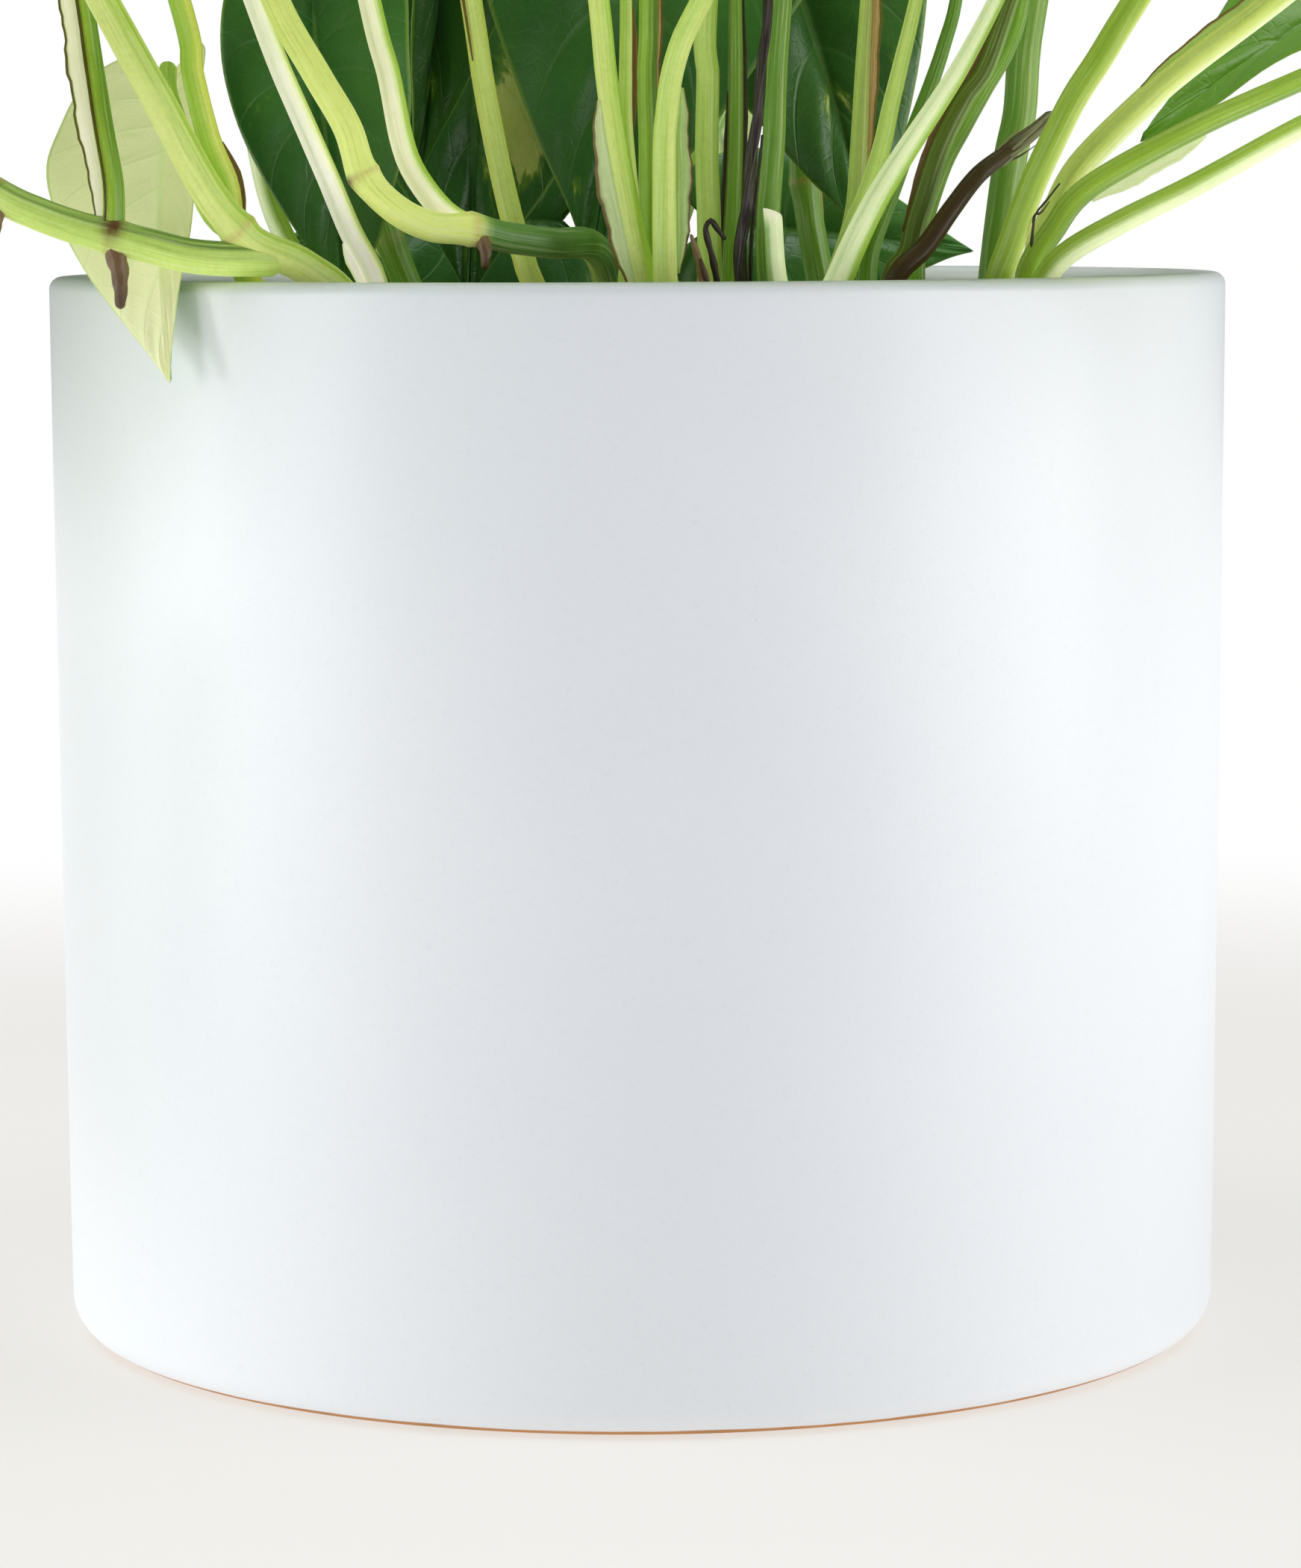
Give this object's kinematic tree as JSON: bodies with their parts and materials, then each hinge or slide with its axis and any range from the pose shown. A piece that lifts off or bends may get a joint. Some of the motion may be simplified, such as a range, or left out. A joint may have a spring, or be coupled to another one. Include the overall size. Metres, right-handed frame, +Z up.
{
  "type": "potted trailing plant",
  "caption": "Potted golden pothos: heart-shaped green leaves on long stalks, a trailing vine, and soil in a plain straight-sided white ceramic pot.",
  "frame": {"origin": "middle of the pot's flat foot, where the part stands", "axes": "+Z up along the axis of the pot; the front of the plant, the side that the picture shows, is towards -Y; +X is the right-hand side seen from the front"},
  "size_m": [0.4609, 0.2665, 0.3255],
  "materials": {
    "pot": "matt white glaze",
    "soil": "loose dark potting soil",
    "stem": "smooth fleshy green",
    "leaf": "glossy waxy green"
  },
  "bodies": {
    "root": {"pot": "pot", "soil": "soil", "vine_left": "stem", "vine_front": "stem", "vine_centre": "stem", "vine_mid_right": "stem", "vine_right": "stem", "vine_far_right": "stem", "vine_back_left": "stem", "vine_back": "stem", "vine_back_right": "stem", "leaf_01": "leaf", "leaf_02": "leaf", "leaf_03": "leaf", "leaf_04": "leaf", "leaf_05": "leaf", "leaf_06": "leaf", "leaf_07": "leaf", "leaf_08": "leaf", "leaf_09": "leaf", "leaf_10": "leaf", "leaf_11": "leaf", "leaf_12": "leaf", "leaf_13": "leaf", "leaf_14": "leaf", "leaf_15": "leaf", "leaf_16": "leaf", "leaf_17": "leaf", "leaf_18": "leaf", "leaf_19": "leaf", "leaf_20": "leaf", "leaf_21": "leaf", "leaf_22": "leaf", "leaf_23": "leaf", "leaf_24": "leaf", "leaf_25": "leaf", "leaf_26": "leaf", "leaf_27": "leaf", "leaf_28": "leaf", "leaf_29": "leaf", "leaf_30": "leaf", "leaf_31": "leaf", "leaf_32": "leaf", "leaf_33": "leaf", "leaf_34": "leaf", "leaf_35": "leaf", "leaf_36": "leaf", "leaf_37": "leaf", "leaf_38": "leaf", "leaf_39": "leaf"}
  },
  "joints": []
}
